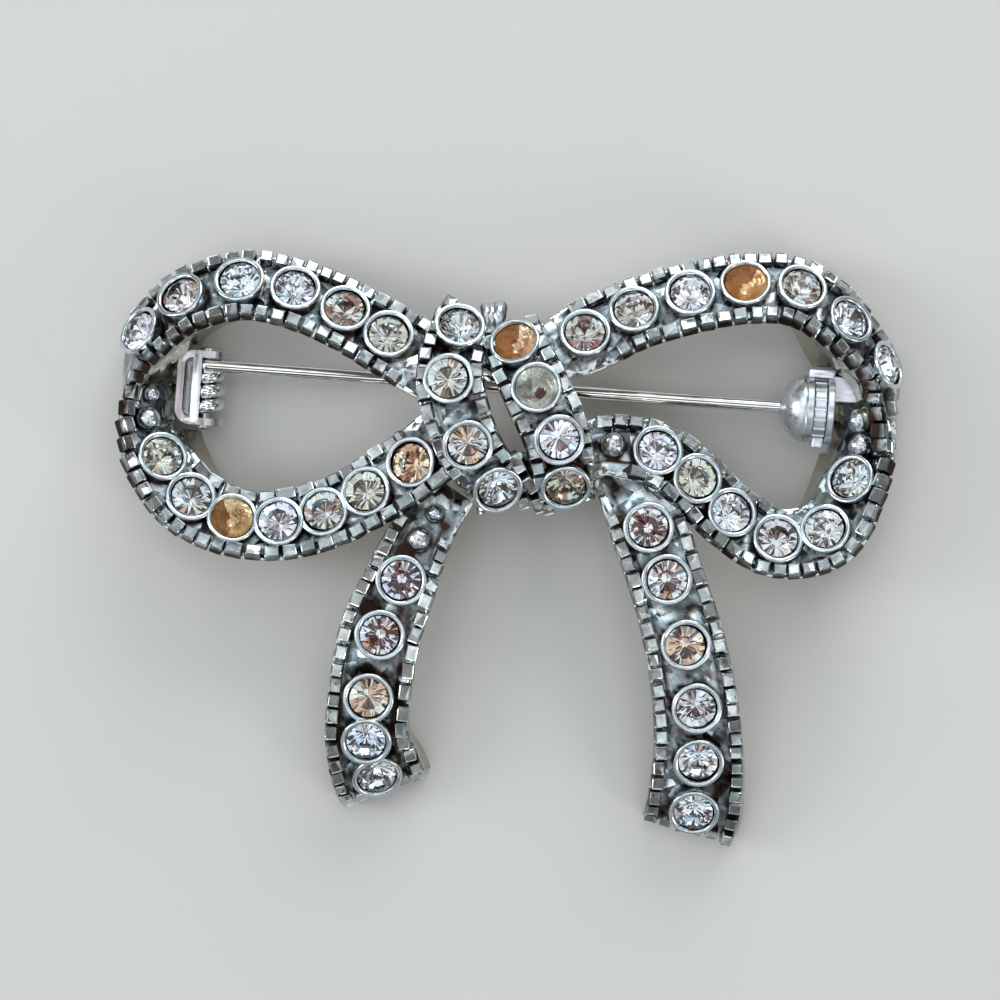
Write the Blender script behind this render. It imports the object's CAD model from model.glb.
# Bow brooch lying on a pale table: a plated casting with milgrain edges, round stones in raised
# cups, a hinged pin with its coil and a turning safety catch
import bpy, math, random
from mathutils import Matrix, Vector, noise


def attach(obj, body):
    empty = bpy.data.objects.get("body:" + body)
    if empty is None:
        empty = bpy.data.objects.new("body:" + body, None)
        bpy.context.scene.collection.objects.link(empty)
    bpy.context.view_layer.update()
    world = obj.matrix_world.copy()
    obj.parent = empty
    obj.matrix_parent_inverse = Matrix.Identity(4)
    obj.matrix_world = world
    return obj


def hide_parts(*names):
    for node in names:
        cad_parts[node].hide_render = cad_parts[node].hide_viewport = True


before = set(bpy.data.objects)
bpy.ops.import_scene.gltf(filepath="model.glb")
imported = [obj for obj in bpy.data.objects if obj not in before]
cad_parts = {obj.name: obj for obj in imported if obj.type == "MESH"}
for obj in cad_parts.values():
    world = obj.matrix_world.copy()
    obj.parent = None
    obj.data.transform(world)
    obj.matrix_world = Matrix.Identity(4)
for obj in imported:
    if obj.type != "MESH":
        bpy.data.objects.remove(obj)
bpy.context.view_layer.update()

# Sizes in millimetres, as in the part's source
MM = 0.001
bow_w, bow_h, bow_d = 47.2, 35.4, 8.0
ribbon_w, ribbon_t, knot_back = 4.6, 1.2, 3.4
nub_w, nub_h = 1.35, 1.6
stone_r, table_share = 1.25, 0.56
crown_h, girdle_h, pavilion_h = 0.42, 0.12, 1.1
cup_h, girdle_sink = 1.0, 0.15
ball_d, bead_share, ball_rise = 1.5, 0.7, 0.3
wire_d, stem_d, lead_l, wire_z = 0.84, 0.8, 1.5, 2.35
tip_reach, point_l, point_d = 2.4, 2.6, 0.2
turns, turn_pitch, coil_r = 4, 0.9, 0.8
run_gap, solder_gap = 0.06, 0.05
rivet_r, bracket_t, rivet_head_r, rivet_head_t = 0.3, 0.42, 0.5, 0.2
catch_r, dome_l, disc_t, disc_step = 2.05, 1.6, 0.7, 0.22
hub_l, hub_wall, plate_t, slot_w = 1.36, 0.63, 0.4, 1.04
tab_reach, tab_w, notches, notch_w = 0.5, 1.0, 18, 0.24
bridge_t, bridge_w, foot_h = 0.5, 1.8, 1.6

# Milgrain as cast: finer than the part's source can carry
grain_pitch, grain_gap, grain_w, grain_h = 1.0, 0.1, 0.84, 0.7
grain_root, grain_round, grain_dish = 0.25, 0.09, 0.06

# Ribbon: the rounding of its edges, how uneven its walls and its floor are, how far a folded foot
# is lifted, and how far the blocks under the knot's bands stand in from the rims
edge_round, wall_lumps, floor_lumps, fold_lift, knot_inset = 0.14, 0.05, 0.09, 0.012, 0.62

# The camera looks at the middle of the photo's view, half way up the brooch
view_w, view_x, view_y, view_mid, camera_h, film_w = 0.06, -0.00069, 0.00282, 0.0045, 0.26, 36

# A row of a strip: its place as shares of the overall sizes, its width as a share of the ribbon's,
# its roll in degrees, what is set on it, how far its foot drops and how far it flares
X, Y, Z, WIDTH, ROLL, SET, DROP, FLARE = range(8)
NONE, STONE, EMPTY, BALL, BEAD = range(5)


def table(*rows):
    """Rows of full length. What a row leaves out at its end is zero."""
    return [row + [0.0] * (8 - len(row)) for row in rows]


left_top = table(
    [-0.490, 0.259, 0.36, 0.91, 78, NONE, 1.0], [-0.483, 0.310, 0.38, 0.94, 66, NONE, 1.0, -0.50],
    [-0.463, 0.358, 0.43, 0.98, 50, STONE, 1.0, -0.36],
    [-0.414, 0.415, 0.49, 1.00, 38, STONE, 0.6, -0.12], [-0.344, 0.441, 0.53, 1.00, 30, STONE],
    [-0.276, 0.427, 0.55, 1.00, 28, STONE], [-0.213, 0.393, 0.58, 1.00, 25, STONE],
    [-0.157, 0.351, 0.62, 1.00, 20, STONE], [-0.111, 0.312, 0.66, 0.95, 14],
    [-0.071, 0.273, 0.70, 0.80, 10])
left_low = table(
    [-0.458, 0.310, 0.36, 0.86, 66, NONE, 1.0, 0.30], [-0.465, 0.261, 0.39, 0.86, 56, BEAD, 1.0, 0.40],
    [-0.469, 0.214, 0.43, 0.87, 46, BALL, 1.0, 0.36], [-0.449, 0.146, 0.50, 1.00, 28, STONE, 1.0, 0.15],
    [-0.410, 0.078, 0.53, 0.98, 20, STONE, 0.6, 0.05], [-0.356, 0.042, 0.54, 0.93, 20, EMPTY],
    [-0.295, 0.036, 0.54, 0.95, 20, STONE], [-0.236, 0.054, 0.55, 0.95, 20, STONE],
    [-0.181, 0.090, 0.58, 0.95, 18, STONE], [-0.123, 0.141, 0.62, 0.95, 14, STONE],
    [-0.076, 0.195, 0.69, 0.85, 8])
right_top = table(
    [0.043, 0.324, 0.70, 0.80, 10], [0.093, 0.353, 0.63, 1.00, 20, STONE],
    [0.156, 0.392, 0.59, 1.00, 24, STONE], [0.227, 0.420, 0.56, 1.00, 26, STONE],
    [0.297, 0.436, 0.54, 1.00, 28, EMPTY], [0.365, 0.429, 0.53, 1.00, 30, STONE],
    [0.422, 0.376, 0.48, 0.98, 42, STONE, 0.7, -0.24],
    [0.466, 0.302, 0.42, 0.96, 58, STONE, 1.0, -0.34], [0.470, 0.246, 0.38, 0.94, 70, NONE, 1.0, -0.30],
    [0.473, 0.188, 0.36, 0.92, 76, NONE, 1.0], [0.473, 0.144, 0.36, 0.90, 78, NONE, 1.0])
right_low = table(
    [0.097, 0.164, 0.67, 0.75, 6], [0.128, 0.171, 0.65, 0.80, 12, BALL],
    [0.182, 0.158, 0.62, 0.86, 16, STONE], [0.231, 0.112, 0.59, 0.88, 18, STONE],
    [0.275, 0.053, 0.56, 0.90, 20, STONE], [0.336, 0.007, 0.54, 0.96, 20, STONE],
    [0.401, 0.024, 0.53, 1.00, 22, STONE, 0.4], [0.438, 0.108, 0.49, 1.00, 35, STONE, 1.0, 0.10],
    [0.452, 0.169, 0.43, 1.00, 50, BALL, 1.0, 0.20], [0.452, 0.214, 0.40, 0.98, 58, BALL, 1.0, 0.22],
    [0.448, 0.263, 0.37, 0.94, 64, NONE, 1.0, 0.20])
knot_left = table(
    [-0.055, 0.402, 0.58, 0.66, 0], [-0.068, 0.361, 0.76, 0.76, 0, STONE],
    [-0.078, 0.278, 0.94, 0.88, -4, STONE], [-0.056, 0.176, 0.92, 0.86, -4, STONE],
    [-0.022, 0.108, 0.77, 0.76, 0, STONE], [-0.011, 0.069, 0.58, 0.70, 0])
knot_right = table(
    [-0.001, 0.381, 0.62, 0.72, 0], [0.007, 0.334, 0.82, 0.82, 0, EMPTY],
    [0.031, 0.264, 0.94, 0.90, 4, EMPTY], [0.057, 0.185, 0.93, 0.88, 4, STONE],
    [0.067, 0.114, 0.78, 0.80, 0, STONE], [0.072, 0.073, 0.60, 0.72, 0])
left_tail = table(
    [-0.076, 0.100, 0.50, 0.70, 0], [-0.098, 0.056, 0.54, 0.76, 0, BEAD],
    [-0.118, 0.012, 0.58, 0.85, 0, BALL], [-0.140, -0.056, 0.59, 0.97, 0, STONE],
    [-0.167, -0.147, 0.59, 1.08, 0, STONE], [-0.181, -0.251, 0.55, 1.09, 0, STONE],
    [-0.185, -0.320, 0.46, 1.09, 0, STONE, 0.0, 0.04],
    [-0.175, -0.378, 0.28, 1.20, 0, STONE, 0.0, 0.08], [-0.167, -0.410, 0.12, 1.20, 0, NONE, 0.0, 0.08])
right_tail = table(
    [0.135, 0.131, 0.60, 0.70, 0], [0.173, 0.032, 0.64, 1.00, 0, STONE],
    [0.196, -0.054, 0.63, 1.00, 0, STONE], [0.220, -0.163, 0.60, 1.06, 0, STONE],
    [0.234, -0.269, 0.55, 1.12, 0, STONE], [0.238, -0.358, 0.45, 1.18, 0, STONE, 0.0, 0.03],
    [0.234, -0.442, 0.28, 1.24, 0, STONE, 0.0, 0.05], [0.228, -0.480, 0.15, 1.22, 0, NONE, 0.0, 0.05])

# Strips: name, table, and the rows between which the milgrain shows on the left and the right rim
strips = [
    ("left_top", left_top, (1.8, 8.0), (0.0, 7.8)), ("left_low", left_low, (3.4, 9.2), (1.0, 9.4)),
    ("right_top", right_top, (1.0, 10.0), (1.4, 9.6)), ("right_low", right_low, (0.6, 4.6), (1.4, 7.6)),
    ("knot_left", knot_left, (0.2, 5.0), (0.2, 3.4)), ("knot_right", knot_right, (0.2, 3.5), (0.2, 5.0)),
    ("left_tail", left_tail, (1.6, 7.7), (1.6, 7.7)), ("right_tail", right_tail, (0.9, 7.0), (0.6, 7.0))]

# The metal that joins the knot's bands above and below their opening: the ends of each web and
# the size across, past those places and up, and the line of milgrain on the lower web
knot_webs = [([-0.030, 0.328, 0.64], [-0.024, 0.285, 0.68]), ([0.006, 0.154, 0.72], [0.0255, 0.086, 0.53])]
web_size = (2.7, 0.4, 1.6)
knot_seam = table(
    [-0.002, 0.158, 0.84, 0.3, 0], [0.013, 0.125, 0.80, 0.3, 0], [0.027, 0.096, 0.72, 0.3, 0],
    [0.036, 0.066, 0.60, 0.3, 0])

# The pin's line, from the hinge to the catch and the place that the catch's foot is soldered to
hinge_at = Vector((-0.391 * bow_w, 0.309 * bow_h, 0))
catch_at = Vector((0.343 * bow_w, 0.239 * bow_h, 0))
foot_at = Vector((0.446 * bow_w, 0.229 * bow_h, 0))
line = catch_at - hinge_at
pin_line = Matrix.Translation(hinge_at) @ Matrix.Rotation(math.atan2(line.y, line.x), 4, "Z")
catch_x, foot_x = line.length, (foot_at - hinge_at).length
coil_z, wire_r, stem_z = wire_z - coil_r, wire_d / 2, wire_z - 0.02
coil_l = (turns - 1) * turn_pitch + wire_d
ear_far = wire_r + run_gap
ear_near = ear_far - coil_l - 2 * run_gap
ear_r = coil_r + wire_r
bracket_back = ear_r + run_gap
rivet_y = ear_near - bracket_t - run_gap - rivet_head_t
rivet_l = ear_far + bracket_t + run_gap + rivet_head_t - rivet_y
front_x = catch_x + dome_l
disc_x = front_x + plate_t + run_gap
back_x = disc_x + disc_t + run_gap
back_end = back_x + plate_t
disc_r, hub_r, hub_x = catch_r - disc_step, slot_w / 2 + hub_wall, disc_x - hub_l


def row_at(rows, s):
    """A smooth curve through the rows, at row s."""
    last = len(rows) - 1
    i = min(math.floor(s), last - 1)
    t = s - i
    near = (rows[max(i - 1, 0)], rows[i], rows[i + 1], rows[min(i + 2, last)])
    return [(2 * b + (c - a) * t + (2 * a - 5 * b + 4 * c - d) * t * t
             + (3 * b - a - 3 * c + d) * t ** 3) / 2 for a, b, c, d in zip(*near)]


def place(row):
    return Vector((row[X] * bow_w, row[Y] * bow_h, row[Z] * bow_d))


class StripFrame:
    """A strip's place, directions and row at row s."""

    def __init__(self, rows, s):
        self.row = row_at(rows, s)
        self.at = place(self.row)
        before, after = (place(row_at(rows, min(max(s + d, 0), len(rows) - 1))) for d in (-0.05, 0.05))
        self.along = (after - before).normalized()
        self.level = Vector((0, 0, 1)).cross(self.along).normalized()
        up = self.along.cross(self.level)
        roll = math.radians(self.row[ROLL])
        self.left = self.level * math.cos(roll) - up * math.sin(roll)
        self.face = up * math.cos(roll) + self.level * math.sin(roll)

    def matrix(self):
        m = Matrix((self.along, self.left, self.face)).transposed().to_4x4()
        m.translation = self.at
        return m


class Metalwork:
    """Points in millimetres, faces, and for each point how deep it lies in a recess and whether it
    is on a plain wall."""

    def __init__(self):
        self.points, self.faces, self.recess, self.wall = [], [], [], []

    def add(self, points, faces, recess=0.0, wall=0.0, matrix=None):
        first = len(self.points)
        self.points += [matrix @ p for p in points] if matrix else list(points)
        self.faces += [[first + i for i in f] for f in faces]
        for kept, mask in ((self.recess, recess), (self.wall, wall)):
            kept += mask if isinstance(mask, list) else [mask] * len(points)
        return self

    def mesh(self, name):
        made = bpy.data.meshes.new(name)
        made.from_pydata([p * MM for p in self.points], [], self.faces)
        for key, values in (("recess", self.recess), ("wall", self.wall)):
            made.attributes.new(key, "FLOAT", "POINT").data.foreach_set("value", values)
        made.update()
        return made


def circle(r, angles):
    """Points of a circle about the origin at some angles."""
    return [(r * math.cos(a), r * math.sin(a)) for a in angles]


def turns_of(count, turn=0.0):
    """Angles all round, from turn on."""
    return [turn + k * math.tau / count for k in range(count)]


def unsteady(chance, most):
    """A slight tilt, as hand work leaves it."""
    return (Matrix.Rotation(chance.uniform(-most, most), 4, "X")
            @ Matrix.Rotation(chance.uniform(-most, most), 4, "Y"))


def clamped(value):
    return max(0.0, min(1.0, value))


def shape(made, matrix=None, recess=0.0, wall=0.0):
    """Metalwork of one shape, given as its points and faces."""
    return Metalwork().add(*made, recess, wall, matrix)


def volume(points, faces):
    """The volume of a closed shape, below zero where its faces look inwards."""
    return sum(points[f[0]].dot(points[f[k]].cross(points[f[k + 1]]))
               for f in faces for k in range(1, len(f) - 1)) / 6


def loft(rings):
    """Points and faces of a solid through rings of the same number of points, facing outwards."""
    n, m = len(rings[0]), len(rings)
    points = [p for r in rings for p in r]
    faces = [[i * n + j, i * n + n + j, i * n + n + (j + 1) % n, i * n + (j + 1) % n]
             for i in range(m - 1) for j in range(n)]
    faces += [list(range(n)), list(range((m - 1) * n, m * n))[::-1]]
    if volume(points, faces) < 0:
        faces = [face[::-1] for face in faces]
    return points, faces


def turned(profile, steps=48):
    """Points and faces of a shape turned about Z. The profile's ends may lie on the axis."""
    points, faces, rings = [], [], []
    for r, z in profile:
        if r < 1e-6:
            rings.append([len(points)])
            points.append(Vector((0, 0, z)))
        else:
            rings.append([len(points) + k for k in range(steps)])
            points += [Vector((x, y, z)) for x, y in circle(r, turns_of(steps))]
    for a, b in zip(rings, rings[1:]):
        for k in range(steps):
            face = [a[k % len(a)], a[(k + 1) % len(a)], b[(k + 1) % len(b)], b[k % len(b)]]
            faces.append([v for i, v in enumerate(face) if v not in face[:i]])
    return points, faces


def soft_block(low, high, r, top=(1, 1), dish=0.0):
    """A block with rounded edges. Its top is narrower by the shares top and may be dished."""
    low, high = Vector(low), Vector(high)
    mid, half = (low + high) / 2, (high - low) / 2
    marks = [[-h, -h + r, h - r, h] for h in half]
    grid, points, faces = {}, [], []

    def corner(i, j, k):
        if (i, j, k) not in grid:
            p = Vector((marks[0][i], marks[1][j], marks[2][k]))
            core = Vector([max(-h + r, min(h - r, c)) for c, h in zip(p, half)])
            out = p - core
            p = core + out.normalized() * r if out.length else core
            share = (p.z / half.z + 1) / 2
            p.x *= 1 + (top[0] - 1) * share
            p.y *= 1 + (top[1] - 1) * share
            p.z -= dish * (k == 3 and i in (1, 2) and j in (1, 2))
            grid[i, j, k] = len(points)
            points.append(p + mid)
        return grid[i, j, k]

    for a, b in ((0, 1), (1, 2), (2, 0)):
        c = 3 - a - b
        for end in (0, 3):
            for i in range(3):
                for j in range(3):
                    face = []
                    for di, dj in ((0, 0), (1, 0), (1, 1), (0, 1)):
                        at = [0, 0, 0]
                        at[a], at[b], at[c] = i + di, j + dj, end
                        face.append(corner(*at))
                    faces.append(face if end else face[::-1])
    return points, faces


def solid(work, name="cutter"):
    """An object of some metalwork, for carving with."""
    made = bpy.data.objects.new(name, work.mesh(name))
    bpy.context.scene.collection.objects.link(made)
    return made


def carve(piece, steps):
    """Joins solids to a piece, or cuts them out of it, and keeps the result as its mesh."""
    tools = []
    for operation, work in steps:
        tool = solid(work)
        tool.hide_render = True
        tools.append(tool)
        cut = piece.modifiers.new("carve", "BOOLEAN")
        cut.operation, cut.solver, cut.object = operation, "MANIFOLD", tool
    bpy.context.view_layer.update()
    settled = piece.evaluated_get(bpy.context.evaluated_depsgraph_get())
    mesh = bpy.data.meshes.new_from_object(settled)
    piece.modifiers.clear()
    piece.data = mesh
    for tool in tools:
        bpy.data.objects.remove(tool)
    return piece


def finish_piece(piece, body, materials, nodes=(), angle=35):
    """Gives a piece its materials, its shading, its body and the part's nodes that it stands for."""
    piece.data.materials.clear()
    for material in materials:
        piece.data.materials.append(material)
    piece.data.shade_smooth()
    if angle:
        piece.data.set_sharp_from_angle(angle=math.radians(angle))
    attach(piece, body)
    if nodes:
        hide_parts(*nodes)
    return piece


# Shader building


def put(tree, kind, **given):
    """Adds a node. Names in capitals are its sockets, the rest its settings."""
    made = tree.nodes.new("ShaderNode" + kind)
    for name, value in given.items():
        if name[0].islower():
            setattr(made, name, value)
    fill(tree, made, **{name: value for name, value in given.items() if not name[0].islower()})
    return made


def fill(tree, made, **given):
    """Gives sockets a link or a constant. A name's low line stands for a space."""
    for name, value in given.items():
        feed(tree, made.inputs[name.replace("_", " ")], value)


def feed(tree, socket, value):
    if isinstance(value, bpy.types.NodeSocket):
        tree.links.new(value, socket)
    elif value is not None:
        socket.default_value = value


def sums(tree, operation, a, b=None, c=None):
    made = put(tree, "Math", operation=operation)
    for socket, value in zip(made.inputs, (a, b, c)):
        feed(tree, socket, value)
    return made.outputs[0]


def mixed(tree, factor, a, b, how="MIX"):
    made = put(tree, "Mix", data_type="RGBA", blend_type=how)
    for i, value in ((0, factor), (6, a), (7, b)):
        feed(tree, made.inputs[i], value)
    return made.outputs[2]


def between(tree, value, low, high, to_low=0.0, to_high=1.0):
    return put(tree, "MapRange", Value=value, From_Min=low, From_Max=high,
               To_Min=to_low, To_Max=to_high).outputs[0]


def object_spot(tree):
    return put(tree, "TexCoord").outputs["Object"]


def kept_mask(tree, name):
    """A mask that a piece keeps in its mesh."""
    return put(tree, "Attribute", attribute_name=name).outputs["Fac"]


def cloud(tree, spot, scale, detail, roughness=None):
    return put(tree, "TexNoise", Vector=spot, Scale=scale, Detail=detail, Roughness=roughness).outputs[0]


def bumped(tree, height, strength, distance):
    return put(tree, "Bump", Height=height, Strength=strength, Distance=distance).outputs[0]


def effect(name, inputs, outputs):
    """A node group for an effect that several finishes share."""
    group = bpy.data.node_groups.new(name, "ShaderNodeTree")
    for label, kind, value in inputs:
        socket = group.interface.new_socket(label, in_out="INPUT", socket_type="NodeSocket" + kind)
        socket.default_value = value
    for label, kind in outputs:
        group.interface.new_socket(label, in_out="OUTPUT", socket_type="NodeSocket" + kind)
    return group, group.nodes.new("NodeGroupInput").outputs, group.nodes.new("NodeGroupOutput").inputs


# The height, in metres, of the plating's unevenness and of the lines in brushed metal
BUMP, BRUSH = 0.00006, 0.00002


def plating_skin():
    """Cast and plated metal: bright on the crests, darkened in the recesses, a little uneven, and
    broken into small flats where the mould was cut."""
    group, get, give = effect("plating_skin", [
        ("Bright", "Color", (0.8, 0.8, 0.8, 1)), ("Dark", "Color", (0.1, 0.1, 0.1, 1)),
        ("Recess", "Float", 0.0), ("Grain", "Float", 1.0), ("Roughness", "Float", 0.2),
        ("Facets", "Float", 0.0), ("Facet scale", "Float", 900.0)],
        [("Colour", "Color"), ("Roughness", "Float"), ("Height", "Float")])
    spot = object_spot(group)
    broad = cloud(group, spot, 520.0, 3.0, 0.6)
    fine = cloud(group, spot, 2600.0, 3.0, 0.65)
    lumps = put(group, "TexVoronoi", feature="SMOOTH_F1", Vector=spot, Scale=1500.0,
                Smoothness=0.4).outputs[0]
    depth = sums(group, "ADD", get["Recess"], sums(group, "MULTIPLY_ADD", broad, 0.9, -0.45))
    dark = between(group, depth, 0.3, 0.85)
    group.links.new(mixed(group, dark, get["Bright"], get["Dark"]), give["Colour"])
    rough = sums(group, "MULTIPLY_ADD", sums(group, "SUBTRACT", broad, 0.5), 0.25, get["Roughness"])
    group.links.new(sums(group, "MULTIPLY_ADD", dark, 0.22, rough), give["Roughness"])
    uneven = sums(group, "ADD", sums(group, "MULTIPLY", lumps, 0.6), sums(group, "MULTIPLY", fine, 0.35))
    patch = put(group, "TexVoronoi", Vector=spot, Scale=get["Facet scale"]).outputs
    within = put(group, "VectorMath", operation="SUBTRACT")
    lean = put(group, "VectorMath", operation="SUBTRACT")
    tilt = put(group, "VectorMath", operation="DOT_PRODUCT")
    for socket, value in zip((*within.inputs[:2], *lean.inputs[:2], *tilt.inputs[:2]),
                             (spot, patch["Position"], patch["Color"], (0.5, 0.5, 0.5),
                              within.outputs[0], lean.outputs[0])):
        feed(group, socket, value)
    flats = sums(group, "MULTIPLY", tilt.outputs["Value"], sums(group, "MULTIPLY", get["Facets"], 1 / BUMP))
    group.links.new(sums(group, "MULTIPLY_ADD", uneven, get["Grain"], flats), give["Height"])
    return group


def drawn_lines():
    """Fine lines left by drawing, turning or brushing, across one direction."""
    group, get, give = effect("drawn_lines", [("Stretch", "Vector", (1, 1, 1)), ("Scale", "Float", 3000.0),
                                              ("Turn", "Float", 0.0)],
                              [("Lines", "Float"), ("Patches", "Float")])
    spot = object_spot(group)
    along = put(group, "VectorMath", operation="MULTIPLY")
    straight = put(group, "VectorRotate", rotation_type="Z_AXIS", Vector=spot, Angle=get["Turn"]).outputs[0]
    group.links.new(straight, along.inputs[0])
    group.links.new(get["Stretch"], along.inputs[1])
    group.links.new(cloud(group, along.outputs[0], get["Scale"], 2.0), give["Lines"])
    group.links.new(cloud(group, spot, 700.0, 3.0), give["Patches"])
    return group


PLATING, LINES = plating_skin(), drawn_lines()


def new_material(name):
    made = bpy.data.materials.new(name)
    made.use_nodes = True
    tree = made.node_tree
    tree.nodes.clear()
    shader = put(tree, "BsdfPrincipled")
    tree.links.new(shader.outputs[0], put(tree, "OutputMaterial").inputs["Surface"])
    return made, tree, shader


def use_group(tree, group, **given):
    made = tree.nodes.new("ShaderNodeGroup")
    made.node_tree = group
    fill(tree, made, **given)
    return made.outputs


def cast_metal(name, bright, dark, roughness, grain, facets, facet_scale, wall=None):
    """Plated casting, with a tint of its own and hardly any facets on its plain walls."""
    made, tree, shader = new_material(name)
    tint = bright + (1,)
    if wall:
        mask = kept_mask(tree, "wall")
        tint = mixed(tree, mask, bright + (1,), wall + (1,))
        facets = between(tree, mask, 0.0, 1.0, facets, 0.06)
    skin = use_group(tree, PLATING, Bright=tint, Dark=dark + (1,), Recess=kept_mask(tree, "recess"),
                     Grain=grain, Roughness=roughness, Facets=facets, Facet_scale=facet_scale)
    fill(tree, shader, Metallic=1.0, Base_Color=skin["Colour"], Roughness=skin["Roughness"],
         Normal=bumped(tree, skin["Height"], 0.7, BUMP))
    return made


def finding_metal(name, colour, roughness, stretch, scale, depth):
    """Machined and brushed metal of the pin and the catch."""
    made, tree, shader = new_material(name)
    marks = use_group(tree, LINES, Stretch=stretch, Scale=scale, Turn=-math.atan2(line.y, line.x))
    dull = tuple(c * 0.72 for c in colour)
    fill(tree, shader, Metallic=1.0,
         Base_Color=mixed(tree, between(tree, marks["Patches"], 0.45, 0.75), colour + (1,), dull + (1,)),
         Roughness=between(tree, marks["Lines"], 0.3, 0.7, roughness * 0.7, roughness * 1.3),
         Normal=bumped(tree, marks["Lines"], 0.5, depth))
    return made


def clear_glass():
    made, tree, shader = new_material("crystal_glass")
    haze = cloud(tree, object_spot(tree), 900.0, 2.0)
    fill(tree, shader, Base_Color=(0.97, 0.985, 1.0, 1), Transmission_Weight=1.0, IOR=1.5,
         Roughness=between(tree, haze, 0.4, 0.8, 0.0, 0.03))
    return made


def mirror_foil():
    """The foil behind a stone. Each facet's own tone, kept in the mesh, has aged differently."""
    made, tree, shader = new_material("mirror_foil")
    tone = put(tree, "Attribute", attribute_name="tone").outputs["Color"]
    mottle = cloud(tree, object_spot(tree), 800.0, 2.0)
    worn = mixed(tree, between(tree, mottle, 0.52, 0.75), tone, (0.7, 0.64, 0.6, 1), "MULTIPLY")
    fill(tree, shader, Metallic=0.95, Base_Color=worn,
         Roughness=between(tree, mottle, 0.4, 0.8, 0.01, 0.07))
    return made


def old_glue(name, amber, pale):
    """Dried glue with gilt foil left on one side, where a stone has fallen out. The foil's mask is
    kept in the mesh."""
    made, tree, shader = new_material(name)
    spot = object_spot(tree)
    patches = cloud(tree, spot, 1100.0, 4.0, 0.65)
    flakes = put(tree, "TexVoronoi", Vector=spot, Scale=3600.0).outputs[0]
    gilt = kept_mask(tree, "gilt")
    dusk = tuple(c * 0.45 for c in amber)
    glued = mixed(tree, between(tree, patches, 0.4, 0.62), amber + (1,), dusk + (1,))
    foiled = mixed(tree, between(tree, patches, 0.45, 0.7), pale + (1,), amber + (1,))
    fill(tree, shader, Base_Color=mixed(tree, gilt, glued, foiled),
         Metallic=between(tree, gilt, 0.0, 1.0, 0.2, 0.85),
         Roughness=between(tree, flakes, 0.0, 0.6, 0.14, 0.36),
         Normal=bumped(tree, sums(tree, "MULTIPLY_ADD", flakes, 0.3, patches), 0.6, 3 * BUMP))
    return made


SILVER, SHADE, WARM = (0.68, 0.74, 0.74), (0.04, 0.025, 0.02), (0.44, 0.41, 0.32)
ribbon_metal = cast_metal("ribbon_channel", (0.54, 0.62, 0.65), SHADE, 0.15, 0.6, 1.3, 1250.0, wall=WARM)
milgrain_metal = cast_metal("milgrain_plating", SILVER, SHADE, 0.13, 0.35, 0.3, 1300.0)
cup_metal = cast_metal("cup_plating", (0.66, 0.73, 0.76), SHADE, 0.22, 0.5, 0.12, 900.0)
ball_metal = cast_metal("ball_plating", (0.60, 0.63, 0.66), SHADE, 0.24, 0.3, 0.1, 900.0)
wire_metal = finding_metal("pin_wire_polish", (0.84, 0.85, 0.87), 0.08, (0.02, 1.0, 1.0), 5200.0,
                           BRUSH / 10)
bracket_metal = finding_metal("bracket_brushed", (0.74, 0.75, 0.76), 0.27, (1.0, 0.08, 1.0), 4200.0, BRUSH)
dome_metal = finding_metal("catch_satin", (0.76, 0.80, 0.86), 0.32, (0.15, 1.0, 1.0), 3800.0, BRUSH)
glass, foil = clear_glass(), mirror_foil()


# Ribbon


def foot(edge, level, spread, drop, back):
    """Where a rim's wall ends: at the ribbon's own sheet, or down to the back."""
    sheet = edge.z - ribbon_t
    low = max(back, sheet + (back - sheet) * clamped(drop))
    return Vector((edge.x + level.x * spread, edge.y + level.y * spread, low))


def edges(f, inset, drop, back):
    """A strip's two rims between the feet of their walls, in from the edge by inset."""
    half = f.row[WIDTH] * ribbon_w / 2 - inset
    left, right = f.at + f.left * half, f.at - f.left * half
    flare = f.row[FLARE] * ribbon_w
    return (foot(left, f.level, max(flare, 0), drop, back), left, right,
            foot(right, f.level, min(flare, 0), drop, back))


def eased(before, corner, after):
    """Points of a rounded corner."""
    a = corner + (before - corner).normalized() * min(edge_round, (before - corner).length * 0.45)
    b = corner + (after - corner).normalized() * edge_round
    return [a, (a + 2 * corner + b) / 4, b]


# Steps across a floor, up a wall and from row to row, the radii of what stands on the floor, and
# how dark each strip's floor is
FLOOR_STEPS, WALL_STEPS, ROW_STEPS = 18, 4, 12
foot_r = {STONE: 1.4, EMPTY: 1.4, BALL: 0.7, BEAD: 0.45}
grime = {"left_top": 0.3, "left_low": 0.45, "right_top": 0.3, "right_low": 0.4,
         "knot_left": 0.45, "knot_right": 0.4, "left_tail": 0.62, "right_tail": 0.55}


def fades(distance, reach):
    """1 at no distance, 0 from reach on."""
    return clamped(1 - distance / reach)


def floor_recess(p, edge_gap, feet, base):
    """How dark a spot of the channel floor is: dark round the feet of cups and of the milgrain."""
    near = max([fades(abs((p - at).length - r), 0.5) for at, r in feet] + [0.0])
    worn = base + 0.5 * noise.noise(p * 0.9)
    return max(worn, near, 0.85 * fades(abs(edge_gap - grain_w), 0.35))


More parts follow.
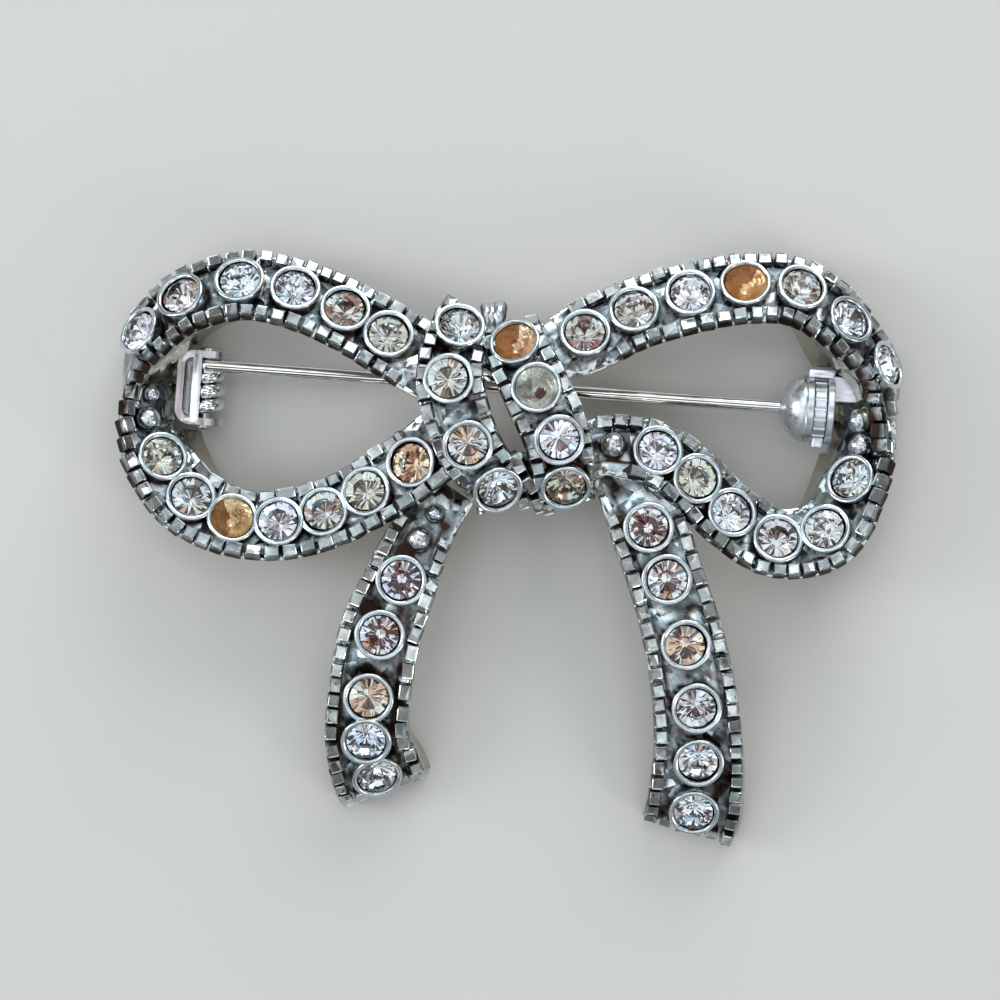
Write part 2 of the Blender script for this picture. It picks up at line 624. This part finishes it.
def section(f, feet, base):
    """A strip's section with eased edges, and its masks."""
    low_left, left, right, low_right = edges(f, 0, f.row[DROP], 0.0)
    width = (left - right).length
    points, recess, wall = [], [], []

    def go(p, deep, plain, rough, out):
        if rough:
            p = p + out * rough * (noise.noise(p * 1.7) * 0.6 + noise.noise(p * 4.1) * 0.4)
        points.append(p)
        recess.append(deep)
        wall.append(plain)

    ease_left, ease_right = eased(low_left, left, right), eased(left, right, low_right)
    ease_far = eased(low_right, right, left)
    for k in range(WALL_STEPS):
        share = k / WALL_STEPS
        go(low_left.lerp(ease_left[0], share), 0.25 * (1 - share), 1, wall_lumps if k else 0, -f.level)
    for p in ease_left:
        go(p, 0, 0.5, 0, f.face)
    for k in range(1, FLOOR_STEPS):
        share = k / FLOOR_STEPS
        p = ease_left[2].lerp(ease_right[0], share)
        go(p, floor_recess(p, min(share, 1 - share) * width, feet, base), 0, floor_lumps, f.face)
    for p in reversed(ease_far):
        go(p, 0, 0.5, 0, f.face)
    for k in reversed(range(WALL_STEPS)):
        share = k / WALL_STEPS
        go(low_right.lerp(ease_right[2], share), 0.25 * (1 - share), 1, wall_lumps if k else 0, f.level)
    return points, recess, wall


def ribbon_strip(name, rows):
    """One strip of the ribbon. Where its foot folds over itself in a tight turn, the fold lies
    inside the metal."""
    feet = [(place(row), foot_r[row[SET]]) for row in rows if row[SET]]
    steps = (len(rows) - 1) * ROW_STEPS
    parts = [section(StripFrame(rows, i / ROW_STEPS), feet, grime[name]) for i in range(steps + 1)]
    points, faces = loft([p for p, _, _ in parts])
    folded = set()
    for face in faces:
        a, b, c, d = (points[v] for v in (face * 2)[:4])
        if max(a.z, b.z, c.z, d.z) < 0.01 and (c - a).cross(d - b).z > 0:
            folded.update(face)
    for v in folded:
        points[v].z += fold_lift
    recess, wall = ([v for part in parts for v in part[i]] for i in (1, 2))
    return Metalwork().add(points, faces, recess, wall)


def knot_block(rows):
    """The narrower block under a band of the knot."""
    rings = []
    sink = Vector((0, 0, ribbon_t / 2))
    for s in (0.5 + i / 4 for i in range((len(rows) - 2) * 4 + 1)):
        low_left, left, right, low_right = edges(StripFrame(rows, s), knot_inset, 1, knot_back)
        rings.append([low_left, left - sink, right - sink, low_right])
    return shape(loft(rings), recess=0.35, wall=1)


def knot_web(ends):
    """A block between the knot's bands, from one place to another."""
    rings = []
    for end, out in zip(ends, (1, -1)):
        at, half = place(end), Vector(web_size) / 2
        rings.append([at + Vector((x * half.x, out * half.y, z * half.z))
                      for x, z in ((-1, -1), (-1, 1), (1, 1), (1, -1))])
    return shape(loft(rings), recess=0.75)


def settings(kinds):
    """What is set on the strips: strip, row number, kind and place."""
    for name, rows, _, _ in strips:
        for i, row in enumerate(rows):
            if row[SET] in kinds:
                yield name, i, row[SET], StripFrame(rows, i).matrix()


def block_on_line(low, high):
    """A block along the pin's line."""
    corners = ((low[0], low[1]), (high[0], low[1]), (high[0], high[1]), (low[0], high[1]))
    return shape(loft([[pin_line @ Vector((x, y, z)) for x, y in corners] for z in (low[2], high[2])]))


def finding_pockets():
    """Hollows for the bracket and for the catch, cut one after the other."""
    below, arch_steps = -1, 24
    back = bracket_back + bracket_t + solder_gap
    reach = (catch_r + bridge_t + solder_gap) / math.cos(math.pi / arch_steps)
    yield block_on_line((-back, rivet_y - solder_gap, below),
                        (ear_r + solder_gap, rivet_y + rivet_l + solder_gap, coil_z + ear_r + solder_gap))
    arch = circle(reach, (math.pi * k / arch_steps for k in range(arch_steps + 1)))
    arch = [(y, wire_z + z) for y, z in arch] + [(-reach, below), (reach, below)]
    yield shape(loft([[pin_line @ Vector((x, y, z)) for y, z in arch[::-1]]
                      for x in (catch_x, back_end + solder_gap)]))
    yield block_on_line((back_x - solder_gap, slot_w / 2 - solder_gap, wire_z - foot_h / 2 - solder_gap),
                        (foot_x + solder_gap, catch_r + solder_gap, wire_z + foot_h / 2 + solder_gap))


def bores(names):
    """Holes in the sheets under the cups of some strips."""
    work = Metalwork()
    hole = turned([(0, -0.52), (1.1, -0.52), (1.16, 1.4), (0, 1.4)], 32)
    for name, _, _, at in settings((STONE, EMPTY)):
        if name in names:
            work.add(*hole, matrix=at)
    return work


def make_ribbon():
    """The strips and the knot's blocks and webs as one solid. Bores that overlap are cut apart
    from each other, and all that faces down counts as a plain wall."""
    groups = [("left_top", "left_low", "left_tail"), ("right_top", "right_low", "right_tail"),
              ("knot_left",), ("knot_right",)]
    parts = [ribbon_strip(name, rows) for name, rows, _, _ in strips]
    parts += [knot_block(knot_left), knot_block(knot_right)] + [knot_web(ends) for ends in knot_webs]
    hollows = [bores(names) for names in groups] + list(finding_pockets())
    steps = [("UNION", work) for work in parts[1:]] + [("DIFFERENCE", work) for work in hollows]
    piece = carve(solid(parts[0], "bow_ribbon"), steps)
    under = {v for face in piece.data.polygons if face.normal.z < -0.6 for v in face.vertices}
    for key, value in (("recess", 0.1), ("wall", 1.0)):
        marks = piece.data.attributes[key].data
        for v in under:
            marks[v].value = value
    return piece


def grain_block(chance, length):
    """One block of milgrain and its recess mask: dark sides and a dull hollow in its top."""
    long = length / 2 * chance.uniform(0.92, 1.07)
    wide = grain_w / 2 * chance.uniform(0.9, 1.0)
    high = grain_h * chance.uniform(0.78, 1.0)
    points, faces = soft_block((-long, -wide, -grain_root), (long, wide, high), grain_round,
                               (0.92, 0.88), grain_dish)
    hollow = high - grain_dish
    mask = [0.5 if abs(p.z - hollow) < 0.004 else clamped(1.6 - p.z * 1.9) for p in points]
    return points, faces, mask


def rim_offset(f, side):
    """From a strip's middle to the middle of its milgrain, on one side."""
    return Vector((0, side * (f.row[WIDTH] * ribbon_w - grain_w) / 2, 0))


def rim_at(rows, side, s):
    f = StripFrame(rows, s)
    return f.matrix() @ rim_offset(f, side)


def make_milgrain():
    """Blocks along the rims and across the tails' ends, each a little different."""
    chance = random.Random(41)
    work = Metalwork()

    def stand(frame_at, offset, length, turn=0.0):
        points, faces, mask = grain_block(chance, length)
        turn += chance.uniform(-0.05, 0.05)
        at = frame_at @ Matrix.Translation(offset) @ Matrix.Rotation(turn, 4, "Z")
        work.add(points, faces, mask, matrix=at @ unsteady(chance, 0.1))

    rims = [(rows, side, span) for _, rows, *spans in strips for side, span in zip((1, -1), spans)]
    for rows, side, span in rims + [(knot_seam, 0, (0.0, 3.0))]:
        for i in range(math.floor(span[0]), math.ceil(span[1])):
            a, b = max(i, span[0]), min(i + 1, span[1])
            start, middle, end = (rim_at(rows, side, s) for s in (a, (a + b) / 2, b))
            reach = (middle - start).length + (end - middle).length
            count = max(1, round(reach / grain_pitch))
            for k in range(count):
                f = StripFrame(rows, a + (b - a) * (k + 0.5) / count)
                stand(f.matrix(), rim_offset(f, side), reach / count - grain_gap)
    for rows in (left_tail, right_tail):
        f = StripFrame(rows, len(rows) - 1.2)
        width = f.row[WIDTH] * ribbon_w
        count = round(width / grain_pitch)
        for k in range(count):
            if abs(k - (count - 1) / 2) > 1 or rows is right_tail:
                across = width * ((k + 0.5) / count - 0.5)
                stand(f.matrix(), (0, across, -0.1), width / count - grain_gap, math.pi / 2)
    return solid(work, "milgrain")


def make_cups():
    """Raised cups, turned from profiles of radius and height. The rim is burnished in over a stone,
    and an empty one keeps its seat."""
    chance = random.Random(7)
    work = Metalwork()
    outside = [(0, -0.5), (1.2, -0.5), (1.24, -0.2), (1.38, 0.3), (1.5, 0.7), (1.54, 0.88), (1.52, 0.96),
               (1.46, 1.0), (1.37, 1.0)]
    inside = {STONE: [(1.29, 0.97), (1.25, 0.92), (1.25, 0.8), (1.27, 0.66), (0.5, -0.12), (0, -0.45)],
              EMPTY: [(1.31, 0.96), (1.28, 0.88), (1.27, 0.7), (1.2, 0.52), (0.62, -0.06), (0.36, -0.3),
                      (0.3, -0.4), (0, -0.44)]}
    for _, i, kind, at in settings((STONE, EMPTY)):
        points, faces = turned(outside + inside[kind])
        tilt = unsteady(chance, 0.03)
        deep = []
        for p in points:
            r = math.hypot(p.x, p.y)
            outer = r > 1.33 or p.z < 0.2
            deep.append(clamped(1.0 - p.z * 1.4) if outer else 1.0 if kind == STONE and p.z < 0.91 else 0.1)
        wobble = [p + Vector((p.x, p.y, 0)) * 0.012 * noise.noise(Vector((p.x, p.y, i)) * 1.5)
                  for p in points]
        work.add(wobble, faces, deep, matrix=at @ tilt)
    return solid(work, "cups")


def make_nub_and_balls():
    """The plain balls of the channels, and the pleated nub behind the knot."""
    work = Metalwork()
    ball = [(0.0, -0.9)] + circle(1, (math.radians(-64 + 14 * k) for k in range(11))) + [(0.0, 1.0)]
    for _, _, kind, at in settings((BALL, BEAD)):
        d = ball_d * (bead_share if kind == BEAD else 1)
        points, faces = turned([(r * d / 2, d * ball_rise + z * d / 2) for r, z in ball], 32)
        points = [p * (1 + 0.03 * noise.noise(p * 2 + at.translation)) for p in points]
        work.add(points, faces, [max(0.0, 0.9 - p.z * 1.6) for p in points], matrix=at)
    at = place([-0.022, 0.392, 0.66])
    pleat = [(-1.05, 0.1), (-0.8, 0.3), (-0.4, 0.46), (-0.05, 0.5), (0.25, 0.36), (0.45, 0.05), (0.5, -0.5),
             (0.46, -1.3)]
    steps = 20
    for i, r in ((-1.15, 0.3), (-0.35, 0.3), (0.75, 0.44)):
        path = [at + Vector((i * nub_w * (0.24 + 0.016 * k), y, z)) for k, (y, z) in enumerate(pleat)]
        radii = [r * (0.62 + 0.38 * min(1, k / 3)) for k in range(len(pleat))]
        points, faces = tube(path, radii, steps)
        aside = [abs(p.x - path[n // steps].x) / radii[n // steps] for n, p in enumerate(points)]
        work.add(points, faces, [0.1 + 0.9 * share ** 2 for share in aside])
    core = at - Vector((0, nub_w / 3, nub_h * 0.5))
    half = Vector((nub_w * 0.95, nub_w * 1.3, nub_h)) / 2
    work.add(*soft_block(core - half, core + half, 0.1), 0.9)
    return solid(work, "knot_nub_and_balls")


# Stones


def chaton(chance):
    """A round chaton: its points, its crown with the table and girdle, and its pavilion's rays."""
    top = cup_h - girdle_sink
    low = top - girdle_h
    sides = 16
    points = []
    for r, z, angles in ((stone_r * table_share, top + crown_h, turns_of(sides // 2)),
                         (stone_r, top, turns_of(sides, -math.pi / sides)),
                         (stone_r, low, turns_of(sides, -math.pi / sides)), (0, low - pavilion_h, [0])):
        points += [Vector((x, y, z)) for x, y in circle(r, angles)]
    upper = sides // 2
    lower, tip = upper + sides, upper + 2 * sides
    crown = [list(range(upper))]
    for k in range(upper):
        a, b, c = upper + 2 * k, upper + 2 * k + 1, upper + (2 * k + 2) % sides
        crown += [[k, a, b], [k, b, c, (k + 1) % upper]]
    for k, after in ((k, (k + 1) % sides) for k in range(sides)):
        crown.append([upper + k, lower + k, lower + after, upper + after])
    pavilion = [[tip, lower + (k + 1) % sides, lower + k] for k in range(sides)]
    spin = Matrix.Rotation(chance.uniform(0, math.tau), 4, "Z")
    lean = unsteady(chance, 0.06)
    heart = Vector((0, 0, (top + low) / 2))
    shift = Vector((chance.uniform(-0.05, 0.05), chance.uniform(-0.05, 0.05), 0))
    return [lean @ spin @ (p - heart) * 0.94 + heart + shift for p in points], crown, pavilion


# Tones of old foil: clear, and the ways in which it has turned
CLEAR, GREY, BLUE, LILAC = (0.97, 0.99, 1.0), (0.74, 0.76, 0.76), (0.80, 0.90, 1.0), (0.90, 0.85, 0.90)
OLIVE, BROWN, MAROON, AMBER = (0.72, 0.73, 0.64), (0.58, 0.40, 0.30), (0.44, 0.24, 0.22), (0.88, 0.66, 0.46)
CREAM = (0.95, 0.85, 0.72)

# Where the foil of each stone has turned: tones, and the directions between which they lie
turned_foil = {
    "left_top": {
        2: [(LILAC, 90, 200)], 3: [(BROWN, 60, 90), (LILAC, 90, 230)],
        4: [(LILAC, -60, 0), (BLUE, 120, 230)], 5: [(BLUE, 90, 200), (LILAC, -60, 0)],
        6: [(MAROON, 30, 90), (OLIVE, 100, 250)], 7: [(OLIVE, 0, 120), (GREY, 200, 330)]},
    "left_low": {
        3: [(BROWN, 255, 290), (OLIVE, 30, 200)],
        4: [(BLUE, 100, 200), (BROWN, 215, 270), (OLIVE, 290, 360)],
        6: [(LILAC, 70, 120), (BLUE, 200, 260)],
        7: [(BROWN, 30, 55), (OLIVE, 60, 120), (BLUE, 130, 250)],
        8: [(OLIVE, 60, 200), (GREY, 300, 360)], 9: [(BROWN, 60, 130), (CREAM, 130, 420)]},
    "right_top": {
        1: [(MAROON, 78, 108), (OLIVE, 108, 180), (LILAC, 0, 60)],
        2: [(OLIVE, 110, 260), (LILAC, 0, 100)], 3: [(LILAC, 60, 120), (GREY, 180, 260)],
        5: [(OLIVE, 90, 230), (MAROON, 60, 90)], 6: [(LILAC, 100, 170)], 7: [(BLUE, 180, 280)]},
    "right_low": {
        2: [(LILAC, 30, 130), (BLUE, 200, 300)], 3: [(OLIVE, 20, 240)],
        4: [(BLUE, 110, 190), (LILAC, 200, 280)], 5: [(GREY, 40, 160), (LILAC, 220, 270)],
        6: [(GREY, 100, 180), (GREY, 280, 340)], 7: [(OLIVE, 200, 290)]},
    "knot_left": {
        1: [(GREY, 60, 140), (BLUE, 180, 260)], 2: [(OLIVE, 60, 180), (MAROON, 230, 265)],
        3: [(BROWN, 70, 110), (AMBER, 110, 150), (GREY, 150, 240)],
        4: [(MAROON, 70, 130), (OLIVE, 180, 230)]},
    "knot_right": {
        3: [(BLUE, 110, 175), (LILAC, 260, 320)],
        4: [(OLIVE, 90, 250), (BROWN, 250, 285), (OLIVE, 285, 400)]},
    "left_tail": {
        3: [(MAROON, 85, 110), (LILAC, -30, 60), (BLUE, 200, 300)],
        4: [(BROWN, 200, 245), (LILAC, 20, 80)], 5: [(BROWN, 200, 270), (OLIVE, 60, 200)],
        6: [(BROWN, 75, 120), (BLUE, 150, 250)], 7: [(BROWN, 70, 110)]},
    "right_tail": {
        1: [(MAROON, 120, 150), (LILAC, 250, 300)], 2: [(BROWN, 245, 285), (GREY, 60, 150)],
        3: [(BROWN, 50, 130), (AMBER, 160, 220), (BLUE, 230, 290)],
        4: [(LILAC, 90, 180), (GREY, 270, 330)], 5: [(BROWN, 60, 110), (BLUE, 250, 310)],
        6: [(BROWN, 50, 110), (GREY, 150, 210)]}}


def ray_tone(chance, spans, way):
    """The tone of a ray of the pavilion that faces a way, in degrees."""
    tone = chance.choice((CLEAR, CLEAR, CLEAR, CLEAR, GREY, BLUE))
    for turned_tone, start, end in spans:
        if (way - start) % 360 < end - start:
            tone = turned_tone
    shade = chance.uniform(0.8, 1.0)
    return tuple(c * shade for c in tone)


def make_stones():
    chance = random.Random(23)
    for name, i, _, at in settings((STONE,)):
        points, crown, pavilion = chaton(chance)
        piece = solid(shape((points, crown + pavilion), at), "chaton_%s_%d" % (name, i))
        finish_piece(piece, "bow", [glass, foil], ["stone_%s_%d" % (name, i)], angle=None)
        piece.data.shade_flat()
        faces = piece.data.polygons
        faces.foreach_set("material_index", [0] * len(crown) + [1] * len(pavilion))
        tones = [CLEAR] * len(crown)
        for face in faces[len(crown):]:
            out = face.center / MM - at.translation
            tones.append(ray_tone(chance, turned_foil[name][i], math.degrees(math.atan2(out.y, out.x))))
        paint = piece.data.attributes.new("tone", "FLOAT_COLOR", "FACE")
        paint.data.foreach_set("color", [c for tone in tones for c in tone + (1,)])


def make_glue():
    """What is left in the four cups that have lost their stones: amber glue, with gilt foil
    between two directions, in degrees, and a bare pit at the bottom. One cup has grey foil all
    round a dark pit."""
    grey_pit = ("knot_right", 2)
    looks = {("left_low", 5): ((0.30, 0.14, 0.05), (0.86, 0.68, 0.42), (-100, 110), 0.14),
             ("knot_right", 1): ((0.36, 0.15, 0.04), (0.95, 0.76, 0.56), (-62, 84), 0.12),
             ("knot_right", 2): ((0.12, 0.05, 0.03), (0.62, 0.65, 0.60), (-20, 20), 0.02),
             ("right_top", 4): ((0.42, 0.18, 0.06), (0.90, 0.64, 0.36), (-66, 58), 0.12)}
    seat_r, seat_top, pit_r, pit_z, steps = 1.24, 0.76, 0.2, -0.36, 8
    for name, i, _, at in settings((EMPTY,)):
        amber, pale, (start, end), thick = looks[name, i]
        rings = []
        for t in (k / steps for k in range(steps + 1)):
            z = pit_z + max(0, (seat_r * t - pit_r) / 1.05) ** 1.05 + thick * (0.4 + 0.6 * t)
            rings.append((seat_r * t, min(z, seat_top)))
        points, faces = turned(rings, 36)
        for p in points:
            p.z += thick * 0.9 * noise.noise(p * 1.3 + at.translation) * min(1, math.hypot(p.x, p.y))
        label = "glue_%s_%d" % (name, i)
        piece = solid(shape((points, faces), at), label)
        finish_piece(piece, "bow", [old_glue(label, amber, pale)], angle=50)
        gilt = piece.data.attributes.new("gilt", "FLOAT", "FACE")
        for face in piece.data.polygons:
            out = face.center / MM - at.translation
            way = math.degrees(math.atan2(out.y, out.x))
            foiled = math.hypot(out.x, out.y) < 0.3 or (way - start) % 360 < end - start
            if (name, i) == grey_pit:
                foiled = math.hypot(out.x - 0.25, out.y + 0.2) > 0.34
            gilt.data[face.index].value = float(foiled)


# Pin, hinge and catch


def tube(path, radii, steps=32):
    """A round wire along a path, with its own radius at each point."""
    rings, side = [], None
    for k, p in enumerate(path):
        way = (path[min(k + 1, len(path) - 1)] - path[max(k - 1, 0)]).normalized()
        side = (side - way * side.dot(way)).normalized() if side else way.orthogonal().normalized()
        other = way.cross(side)
        rings.append([p + (side * math.cos(a) + other * math.sin(a)) * radii[k] for a in turns_of(steps)])
    return loft(rings)


def make_pin():
    """The wire from its ground point along the stem and its lead into the coil."""
    end = catch_x + tip_reach
    point_steps, stem_steps, lead_steps, round_trip = 8, 24, 5, 36
    path, radii = [], []
    for t in (k / point_steps for k in range(point_steps + 1)):
        path.append(Vector((end - point_l * t, 0, stem_z)))
        radii.append(point_d / 2 + (stem_d - point_d) / 2 * (1 - (1 - t) ** 1.6))
    for k in range(1, stem_steps + 1):
        path.append(Vector((end - point_l + (lead_l - end + point_l) * k / stem_steps, 0, stem_z)))
        radii.append(stem_d / 2)
    for t in (k / lead_steps for k in range(1, lead_steps + 1)):
        path.append(Vector((lead_l * (1 - t), 0, stem_z + (wire_z - stem_z) * t)))
        radii.append(stem_d / 2 + (wire_r - stem_d / 2) * t)
    whole = (turns - 1) * round_trip + round_trip // 2
    for k in range(1, whole + 1):
        a = math.pi / 2 + k * math.tau / round_trip
        fall = -turn_pitch * (turns - 1) * min(max(k - round_trip // 4, 0) / (whole - round_trip // 2), 1)
        path.append(Vector((coil_r * math.cos(a), fall, coil_z + coil_r * math.sin(a))))
        radii.append(wire_r)
    piece = solid(shape(tube(path, radii), pin_line), "pin_wire")
    return finish_piece(piece, "pin", [wire_metal], ["pin_stem"], angle=60)


def upright(y, length, outline):
    """A plate across the hinge's axis, drawn by its outline in X and Z."""
    return shape(loft([[Vector((x, at, z)) for x, z in outline] for at in (y, y + length)]), pin_line)


def make_bracket():
    """A strip bent to a U with round ears, and a flap of it bent over the coil."""
    near, far, back = ear_near - bracket_t, ear_far + bracket_t, -bracket_back - bracket_t
    bend_r, beyond = 0.95, 0.5

    def bend(inset):
        """One side of the strip in plan, from ear to ear, with its two bends."""
        r = bend_r - inset
        path = [(ear_r + 1, far - inset)]
        for y, start in ((far - bend_r, 90), (near + bend_r, 180)):
            path += [(back + bend_r + x, y + across)
                     for x, across in circle(r, (math.radians(start + 15 * k) for k in range(7)))]
        return path + [(ear_r + 1, near + inset)]

    plan = bend(0) + bend(bracket_t)[::-1]
    strip = loft([[Vector((x, y, z)) for x, y in plan] for z in (coil_z - ear_r, coil_z + ear_r)])
    ears = circle(ear_r, (math.radians(-90 + 7.5 * k) for k in range(25)))
    ears += [(back - beyond, ear_r), (back - beyond, -ear_r)]
    flap = circle(ear_r + 0.2, map(math.radians, range(180, 99, -8)))
    flap += circle(ear_r + 0.05, map(math.radians, range(100, 181, 8)))
    ears, flap = ([(x, coil_z + z) for x, z in outline] for outline in (ears, flap))
    piece = solid(shape(strip, pin_line), "hinge_bracket_sheet")
    carve(piece, [("INTERSECT", upright(near - 0.1, far - near + 0.2, ears))])
    carve(piece, [("UNION", upright(near + 0.2, far - near - 0.4, flap))])
    return finish_piece(piece, "bow", [bracket_metal], ["hinge_bracket"], angle=40)


def make_rivet():
    r = rivet_head_r
    head = [(0, 0), (r * 0.5, 0.01), (r * 0.82, 0.05), (r, 0.12), (r, rivet_head_t),
            (rivet_r, rivet_head_t)]
    profile = head + [(radius, rivet_l - z) for radius, z in head[::-1]]
    across = pin_line @ Matrix.Translation((0, rivet_y, coil_z)) @ Matrix.Rotation(-math.pi / 2, 4, "X")
    piece = solid(shape(turned(profile, 32), across), "hinge_rivet_headed")
    return finish_piece(piece, "bow", [bracket_metal], ["hinge_rivet"], angle=40)


def turned_work(x, profile, steps=64):
    """A turned shape about the pin's axis, its profile as distances along X and radii."""
    at = pin_line @ Matrix.Translation((x, 0, wire_z)) @ Matrix.Rotation(math.pi / 2, 4, "Y")
    return shape(turned([(r, along) for along, r in profile], steps), at)


def rod(r, length):
    return [(0, 0), (0, r), (length, r), (length, 0)]


def eased_rod(r, length, ease=0.05):
    return [(0, 0), (0, r - ease), (ease, r), (length - ease, r), (length, r - ease), (length, 0)]


def slot_cutters(x, length):
    """The slot for the pin: round at the pin's axis and open downwards."""
    r = slot_w / 2
    yield turned_work(x, rod(r, length), 48)
    yield block_on_line((x, -r, wire_z - 5), (x + length, r, wire_z))


def make_catch():
    """The housing: a dome with a plate, a second plate past the disc, and the bridge and the strut
    that join them to each other and to the bow."""
    dome = [(0, 0)] + [(dome_l * (1 - math.cos(a)), catch_r * math.sin(a)) for a in
                       (math.radians(5 * k) for k in range(1, 18))]
    dome += [(dome_l - 0.05, catch_r - 0.02), (dome_l, catch_r - 0.05), (dome_l + 0.04, catch_r - 0.01),
             (dome_l + plate_t - 0.05, catch_r - 0.005), (dome_l + plate_t, catch_r - 0.05),
             (dome_l + plate_t, 0)]
    piece = solid(turned_work(catch_x, dome), "catch_dome")
    low = disc_r + run_gap
    bridge = shape(soft_block((front_x + 0.02, low, wire_z - bridge_w / 2),
                              (back_end - 0.02, low + bridge_t, wire_z + bridge_w / 2), 0.08), pin_line)
    strut = shape(soft_block((back_x + 0.05, slot_w / 2, wire_z - foot_h / 2),
                             (foot_x, catch_r, wire_z + foot_h / 2), 0.1), pin_line)
    plate = turned_work(back_x, eased_rod(catch_r, plate_t))
    steps = [("UNION", plate), ("UNION", bridge), ("UNION", strut)]
    steps += [("DIFFERENCE", w) for w in slot_cutters(catch_x - plate_t, back_end + 2 * plate_t - catch_x)]
    steps += [("DIFFERENCE", turned_work(hub_x - run_gap, rod(hub_r + run_gap, hub_l)))]
    carve(piece, steps)
    return finish_piece(piece, "bow", [dome_metal], ["catch_housing"], angle=30)


def make_rotor():
    """The slotted disc with its hub, its thumb tab and the notches of its rim."""
    piece = solid(turned_work(disc_x, eased_rod(disc_r, disc_t), 72), "catch_disc")
    tab = shape(soft_block((disc_x, -disc_r - tab_reach, wire_z - tab_w / 2),
                           (disc_x + disc_t, -disc_r + 0.4, wire_z + tab_w / 2), 0.12), pin_line)
    steps = [("UNION", turned_work(hub_x, rod(hub_r, hub_l + disc_t / 2))), ("UNION", tab)]
    steps += [("DIFFERENCE", w) for w in slot_cutters(catch_x, back_end - catch_x)]
    cut = Metalwork()
    for a in turns_of(notches):
        at = pin_line @ Matrix.Translation((disc_x - disc_t / 2, 0, wire_z)) @ Matrix.Rotation(a, 4, "X")
        at = at @ Matrix.Translation((0, 0, disc_r)) @ Matrix.Rotation(math.pi / 2, 4, "Y")
        notch = [(0, 0), (notch_w / 2, 0), (notch_w / 2, 2 * disc_t), (0, 2 * disc_t)]
        cut.add(*turned(notch, 16), matrix=at)
    carve(piece, steps + [("DIFFERENCE", cut)])
    return finish_piece(piece, "catch_disc", [dome_metal], ["catch_rotor"], angle=30)


for make, metal, angle in ((make_ribbon, ribbon_metal, 35), (make_milgrain, milgrain_metal, 20),
                           (make_cups, cup_metal, 50), (make_nub_and_balls, ball_metal, 50)):
    finish_piece(make(), "bow", [metal], ["bow_frame"], angle=angle)
for make in (make_stones, make_glue, make_pin, make_bracket, make_rivet, make_catch, make_rotor):
    make()


# Table, light and camera


def make_table():
    table_gap = 0.00002
    made, tree, shader = new_material("pale_table")
    shade = cloud(tree, object_spot(tree), 30.0, 4.0)
    fill(tree, shader, Roughness=0.7,
         Base_Color=mixed(tree, shade, (0.60, 0.59, 0.57, 1), (0.64, 0.63, 0.61, 1)))
    mesh = bpy.data.meshes.new("table_top")
    mesh.from_pydata([(-1, -1, 0), (1, -1, 0), (1, 1, 0), (-1, 1, 0)], [], [(0, 1, 2, 3)])
    top = bpy.data.objects.new("table_top", mesh)
    top.location.z = -table_gap
    bpy.context.scene.collection.objects.link(top)
    mesh.materials.append(made)


def make_sky():
    """A room: a bright ceiling that is dark straight above the object, paler walls, and dark
    corners here and there, which give plated metal and foil their contrast."""
    world = bpy.data.worlds.new("room")
    bpy.context.scene.world = world
    world.use_nodes = True
    tree = world.node_tree
    tree.nodes.clear()
    way = put(tree, "TexCoord").outputs["Generated"]
    height = put(tree, "SeparateXYZ", Vector=way).outputs["Z"]
    ramp = put(tree, "ValToRGB", Fac=height)
    stops = [(0.0, (0.12, 0.10, 0.08)), (0.25, (0.18, 0.17, 0.15)), (0.55, (0.36, 0.43, 0.46)),
             (0.78, (0.70, 0.80, 0.87)), (0.96, (0.95, 0.98, 1.0)), (0.984, (0.45, 0.40, 0.38)),
             (0.992, (0.07, 0.03, 0.028))]
    for k, (at, colour) in enumerate(stops):
        stop = ramp.color_ramp.elements[k] if k < 2 else ramp.color_ramp.elements.new(at)
        stop.position, stop.color = at, colour + (1,)
    corner = between(tree, cloud(tree, way, 3.4, 2.0), 0.49, 0.44)
    colour = mixed(tree, corner, ramp.outputs[0], (0.05, 0.026, 0.02, 1))
    ground = put(tree, "Background", Color=colour, Strength=1.7)
    tree.links.new(ground.outputs[0], put(tree, "OutputWorld").inputs["Surface"])


def soft_light(name, place_at, size, power, colour):
    lamp = bpy.data.lights.new(name, "AREA")
    lamp.shape, lamp.energy, lamp.color = "RECTANGLE", power, colour
    lamp.size, lamp.size_y = size
    made = bpy.data.objects.new(name, lamp)
    made.location = place_at
    made.rotation_mode = "QUATERNION"
    made.rotation_quaternion = (-Vector(place_at)).to_track_quat("-Z", "Y")
    bpy.context.scene.collection.objects.link(made)


def make_camera():
    lens = bpy.data.cameras.new("camera")
    lens.sensor_width, lens.lens = film_w, film_w * (camera_h - view_mid) / view_w
    lens.clip_start, lens.clip_end = 0.01, 5
    made = bpy.data.objects.new("camera", lens)
    made.location = (view_x, view_y, camera_h)
    bpy.context.scene.collection.objects.link(made)
    bpy.context.scene.camera = made


make_table()
make_sky()
soft_light("window", (0.16, 0.60, 0.26), (0.50, 0.34), 2.6, (0.93, 0.97, 1.0))
soft_light("side_window", (-0.42, 0.05, 0.24), (0.14, 0.22), 0.7, (0.95, 0.98, 1.0))
soft_light("low_panel", (0.34, -0.26, 0.20), (0.10, 0.16), 0.35, (1.0, 0.96, 0.9))
make_camera()
bpy.context.scene.view_settings.view_transform = "Standard"
